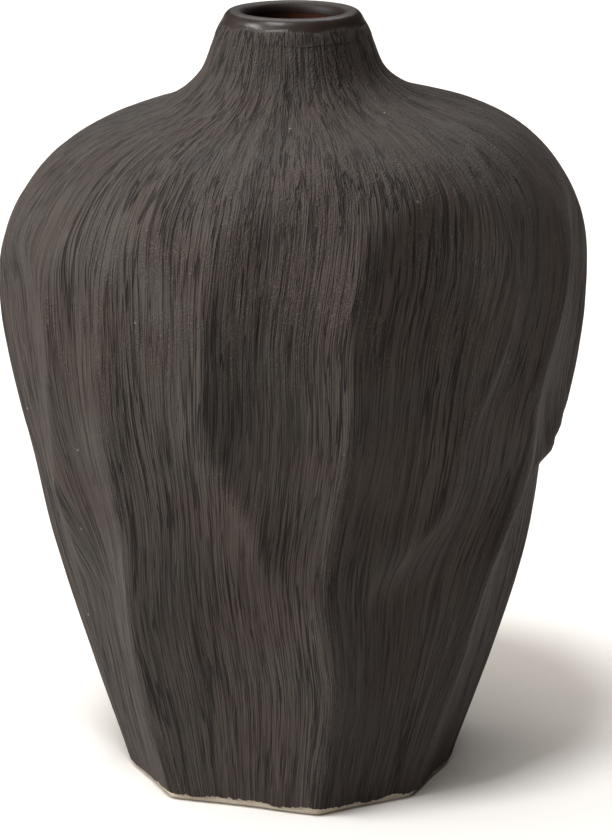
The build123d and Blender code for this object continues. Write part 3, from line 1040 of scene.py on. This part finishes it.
# Soft lights: name, bearing from the front towards +X and climb in degrees, the angle over which
# it is spread, strength, colour, and who takes it: INCLUDE for the table alone, EXCLUDE for all
# but the table.
LIGHTS = [
    ("over_table", -24, 68, 13, 2.4, WHITE, "INCLUDE"),
    ("round_table", -70, 58, 105, 3.5, WARM, "INCLUDE"),
    ("overhead", -50, 64, 25, 3.1, WHITE, "EXCLUDE"),
    ("from_left", -75, 28, 26, 5.0, WHITE, "EXCLUDE"),
    ("backdrop", 180, 55, 50, 2.6, WHITE, "EXCLUDE"),
]


def set_table(settings):
    """Lays the table under the foot."""
    deselect_all()
    bpy.ops.mesh.primitive_plane_add(size=TABLE_SIZE, location=TABLE_MIDDLE)
    table = bpy.context.object
    table.name = "table"
    table.data.materials.append(table_material(settings))
    return table


def set_fill(scene, settings):
    """Lights the scene a little from all round."""
    world = bpy.data.worlds.new("soft_room")
    world.use_nodes = True
    background = world.node_tree.nodes["Background"]
    background.inputs["Color"].default_value = FILL_COLOUR
    background.inputs["Strength"].default_value = settings.fill
    scene.world = world


def set_lights(scene, settings, table):
    """Hangs the soft lights, each for the table alone or for all but the table."""
    for name, bearing, climb, spread, strength, colour, lit in LIGHTS:
        light = bpy.data.lights.new(name, "SUN")
        light.color = colour
        light.energy = strength * settings.light
        light.angle = radians(spread)
        holder = bpy.data.objects.new(name, light)
        scene.collection.objects.link(holder)
        holder.rotation_euler = (radians(90 - climb), 0, radians(bearing))
        receivers = bpy.data.collections.new(name + "_lights")
        receivers.objects.link(table)
        receivers.collection_objects[0].light_linking.link_state = lit
        holder.light_linking.receiver_collection = receivers


def set_camera(scene, settings):
    """Stands the camera in front of the vase, a little above it."""
    camera = bpy.data.cameras.new("camera")
    camera.lens = settings.lens
    camera.clip_end = FARTHEST
    holder = bpy.data.objects.new("camera", camera)
    scene.collection.objects.link(holder)
    down = np.arctan2(settings.height - settings.aim, settings.distance)
    holder.location = (settings.aside, -settings.distance, settings.height)
    holder.rotation_euler = (pi / 2 - down, 0, 0)
    scene.camera = holder
    scene.view_settings.view_transform = "Standard"


# ---- operators --------------------------------------------------------------------------------
class VASE_OT_brushed_coat(bpy.types.Operator):
    """Model the matte brushed coat"""
    bl_idname = "vase.brushed_coat"
    bl_label = "Brushed Coat"

    def execute(self, context):
        settings = context.scene.vase_coat
        coat = model_coat(settings)
        finish_piece(coat, "outer_glaze", coat_material(settings))
        return {"FINISHED"}


class VASE_OT_lip_gloss(bpy.types.Operator):
    """Model the gloss band over the lip"""
    bl_idname = "vase.lip_gloss"
    bl_label = "Lip Gloss"

    def execute(self, context):
        settings = context.scene.vase_lip
        lip = model_lip(settings)
        finish_piece(lip, "lip_glaze", lip_material(settings))
        return {"FINISHED"}


class VASE_OT_lining_gloss(bpy.types.Operator):
    """Give the lining its red-brown gloss"""
    bl_idname = "vase.lining_gloss"
    bl_label = "Lining Gloss"

    def execute(self, context):
        dress("inner_glaze", lining_material(context.scene.vase_lining))
        return {"FINISHED"}


class VASE_OT_bare_clay(bpy.types.Operator):
    """Give the clay body its sandy surface"""
    bl_idname = "vase.bare_clay"
    bl_label = "Bare Clay"

    def execute(self, context):
        dress("clay_body", clay_material(context.scene.vase_clay))
        return {"FINISHED"}


class VASE_OT_stage(bpy.types.Operator):
    """Set the pale table, the soft light and the camera"""
    bl_idname = "vase.stage"
    bl_label = "Table, Light and Camera"

    def execute(self, context):
        settings = context.scene.vase_stage
        table = set_table(settings)
        set_fill(context.scene, settings)
        set_lights(context.scene, settings, table)
        set_camera(context.scene, settings)
        return {"FINISHED"}


class VASE_PT_panel(bpy.types.Panel):
    """The vase's pieces and their settings"""
    bl_label = "Stoneware Vase"
    bl_idname = "VASE_PT_panel"
    bl_space_type = "VIEW_3D"
    bl_region_type = "UI"
    bl_category = "Vase"

    def draw(self, context):
        for operator, holder in STEPS:
            box = self.layout.box()
            box.operator(operator)
            settings = getattr(context.scene, holder)
            for key in type(settings).__annotations__:
                box.prop(settings, key)


STEPS = [
    ("vase.stage", "vase_stage"),
    ("vase.bare_clay", "vase_clay"),
    ("vase.lining_gloss", "vase_lining"),
    ("vase.brushed_coat", "vase_coat"),
    ("vase.lip_gloss", "vase_lip"),
]
SETTINGS = {
    "vase_stage": VaseStageSettings,
    "vase_clay": VaseClaySettings,
    "vase_lining": VaseLiningSettings,
    "vase_coat": VaseCoatSettings,
    "vase_lip": VaseLipSettings,
}
CLASSES = [*SETTINGS.values(), VASE_OT_stage, VASE_OT_bare_clay, VASE_OT_lining_gloss,
           VASE_OT_brushed_coat, VASE_OT_lip_gloss, VASE_PT_panel]


def register():
    """Adds the operators, the panel and the settings to Blender."""
    for entry in CLASSES:
        bpy.utils.register_class(entry)
    for name, group in SETTINGS.items():
        setattr(bpy.types.Scene, name, PointerProperty(type=group))


def unregister():
    """Takes them out again."""
    for name in SETTINGS:
        delattr(bpy.types.Scene, name)
    for entry in reversed(CLASSES):
        bpy.utils.unregister_class(entry)


def main():
    """Makes every piece and the stage, as the panel's buttons do."""
    register()
    bpy.ops.vase.stage()
    bpy.ops.vase.bare_clay()
    bpy.ops.vase.lining_gloss()
    bpy.ops.vase.brushed_coat()
    bpy.ops.vase.lip_gloss()


if __name__ == "__main__":
    main()
